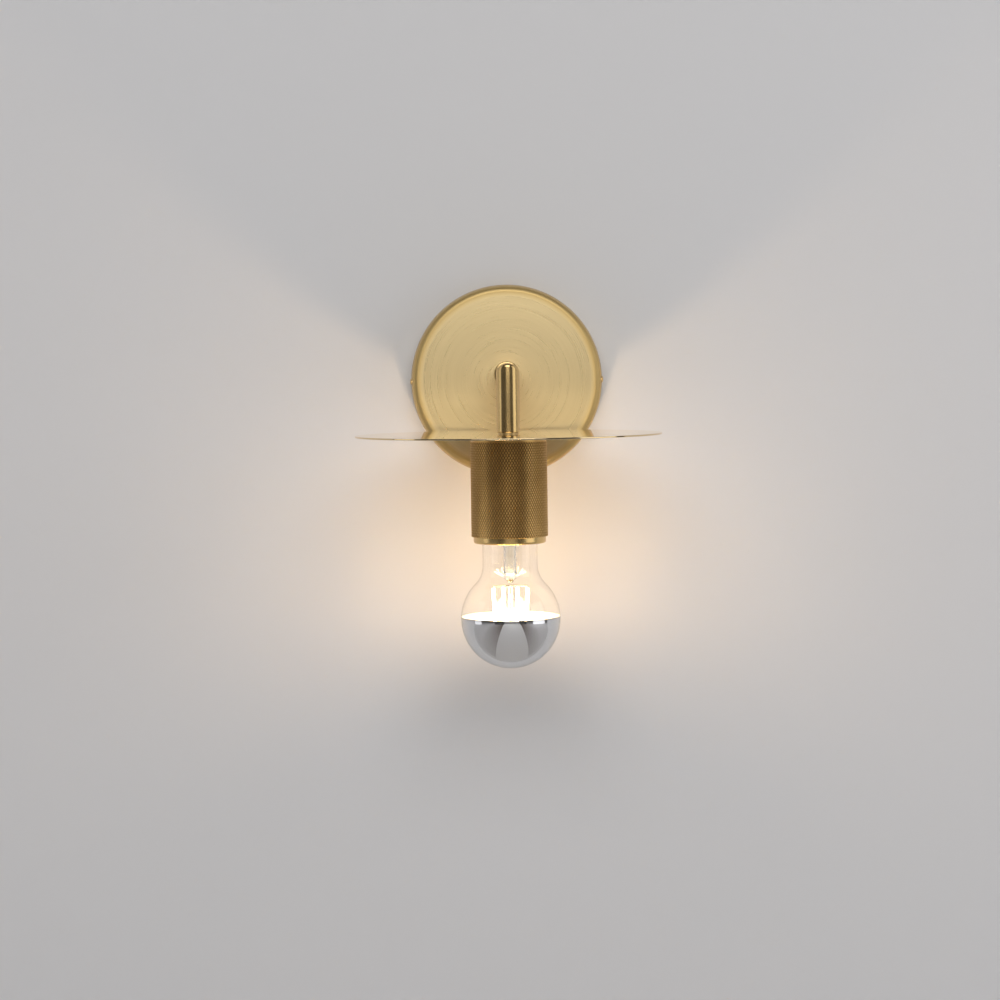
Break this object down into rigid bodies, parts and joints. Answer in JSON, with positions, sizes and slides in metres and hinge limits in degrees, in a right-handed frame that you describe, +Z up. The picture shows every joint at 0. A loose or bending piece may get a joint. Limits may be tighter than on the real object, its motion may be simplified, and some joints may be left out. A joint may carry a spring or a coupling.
{
  "type": "wall light",
  "caption": "Brass wall light: round canopy, short mitred arm, thin shade disc, knurled lampholder and a half-mirror filament bulb.",
  "frame": {"origin": "middle of the canopy, on the wall plane, halfway between the two wall-screw slots", "axes": "+Y into the wall, +Z up, +X to the right as seen from the room"},
  "size_m": [0.184, 0.21, 0.2338],
  "materials": {
    "brushed_brass": "spun brass, brushed in circles and lacquered",
    "polished_brass": "polished and lacquered",
    "knurled_brass": "diamond knurl, lacquered",
    "raw_brass": "machined, unpolished",
    "zinc_steel": "zinc plated",
    "nylon": "moulded, matt",
    "porcelain": "glazed",
    "spring_bronze": "rolled strip",
    "live_sheath": "PVC sleeve, brown",
    "neutral_sheath": "PVC sleeve, blue",
    "earth_sheath": "PVC sleeve, green and yellow",
    "clear_glass": "clear, blown",
    "silvered_crown": "silvered",
    "cap_metal": "nickel plated",
    "cap_insulator": "black glass",
    "solder": "dull solder",
    "filament": "phosphor coat",
    "support_wire": "drawn wire",
    "circuit_board": "solder mask"
  },
  "bodies": {
    "fixture": {"wall_bracket": "zinc_steel", "bracket_earth_screw": "raw_brass", "canopy": "brushed_brass", "canopy_side_screws": "polished_brass", "terminal_block": "nylon", "terminal_inserts": "raw_brass", "terminal_screws": "zinc_steel", "terminal_fixing_screw": "zinc_steel", "arm_collar": "polished_brass", "arm_tube": "polished_brass", "arm_root_bush": "raw_brass", "arm_foot_bush": "raw_brass", "arm_nipple": "zinc_steel", "arm_lock_washer": "zinc_steel", "arm_nut": "zinc_steel", "arm_wire_bush": "nylon", "shade_disc": "polished_brass", "holder_nipple": "zinc_steel", "holder_lock_washer": "zinc_steel", "holder_earth_tag": "raw_brass", "holder_nut": "zinc_steel", "holder_cover": "knurled_brass", "holder_ring": "polished_brass", "holder_insulator": "porcelain", "screw_shell": "raw_brass", "holder_terminals": "raw_brass", "holder_terminal_screws": "zinc_steel", "contact_anchor": "spring_bronze", "live_lead": "live_sheath", "neutral_lead": "neutral_sheath", "earth_lead": "earth_sheath", "bracket_earth_lead": "earth_sheath"},
    "lamp_contact": {"bulb_contact": "solder"},
    "lamp": {"bulb_cap_insulator": "cap_insulator", "bulb_cap": "cap_metal", "bulb_glass": "clear_glass", "bulb_mirror": "silvered_crown", "bulb_stem": "clear_glass", "bulb_filaments": "filament", "bulb_support_wires": "support_wire", "bulb_driver_board": "circuit_board"},
    "spring_contact": {"contact_tongue": "spring_bronze"}
  },
  "joints": [
    {"name": "lamp_travel", "type": "slide", "parent": "fixture", "child": "lamp_contact", "axis": [0, 0, -1], "range_m": [0, 0.0164]},
    {"name": "lamp_turn", "type": "hinge", "parent": "lamp_contact", "child": "lamp", "pos_m": [0, -0.118, -0.14], "axis": [0, 0, -1], "range_deg": [0, 1620]},
    {"name": "contact_press", "type": "hinge", "parent": "fixture", "child": "spring_contact", "pos_m": [0.0085, -0.118, -0.0664], "axis": [0, 1, 0], "range_deg": [0, 5], "stiffness_Nm_per_rad": 0.5}
  ],
  "couplings": [
    {"joint": "lamp_travel", "follows": "lamp_turn", "m_per_rad": 0.00057757}
  ]
}
